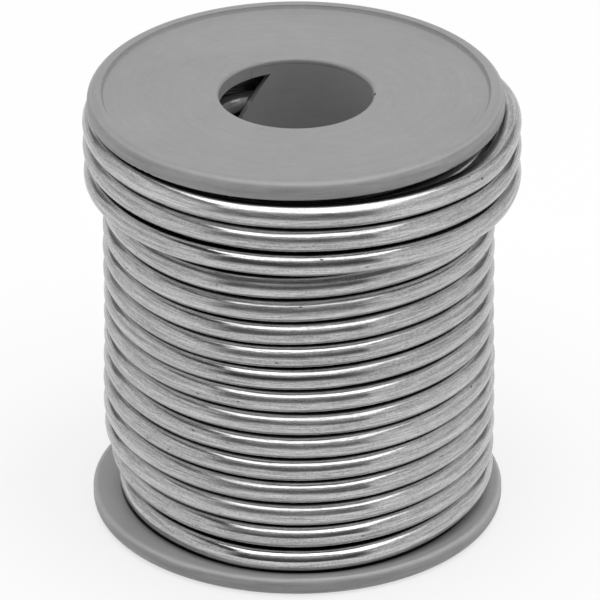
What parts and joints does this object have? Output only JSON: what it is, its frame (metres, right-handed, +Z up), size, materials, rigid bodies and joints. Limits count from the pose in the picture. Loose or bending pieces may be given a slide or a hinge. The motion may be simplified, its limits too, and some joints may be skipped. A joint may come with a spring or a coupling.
{
  "type": "solder wire spool",
  "caption": "Flanged plastic spool with a through bore, full of thick shiny solder wire in even turns, with a few looser turns on top.",
  "frame": {"origin": "on the spool's axis, in the plane of the lower flange's rim, on which the spool stands", "axes": "+Z up the spool's axis, -Y towards the viewer of the picture, +X to the viewer's right"},
  "size_m": [0.0537, 0.0543, 0.0565],
  "materials": {
    "grey_plastic": "matte",
    "solder": "gloss"
  },
  "bodies": {
    "root": {"core_and_lower_flange": "grey_plastic", "top_flange": "grey_plastic", "inner_wire_layers": "solder", "outer_wire_layer": "solder"}
  },
  "joints": []
}
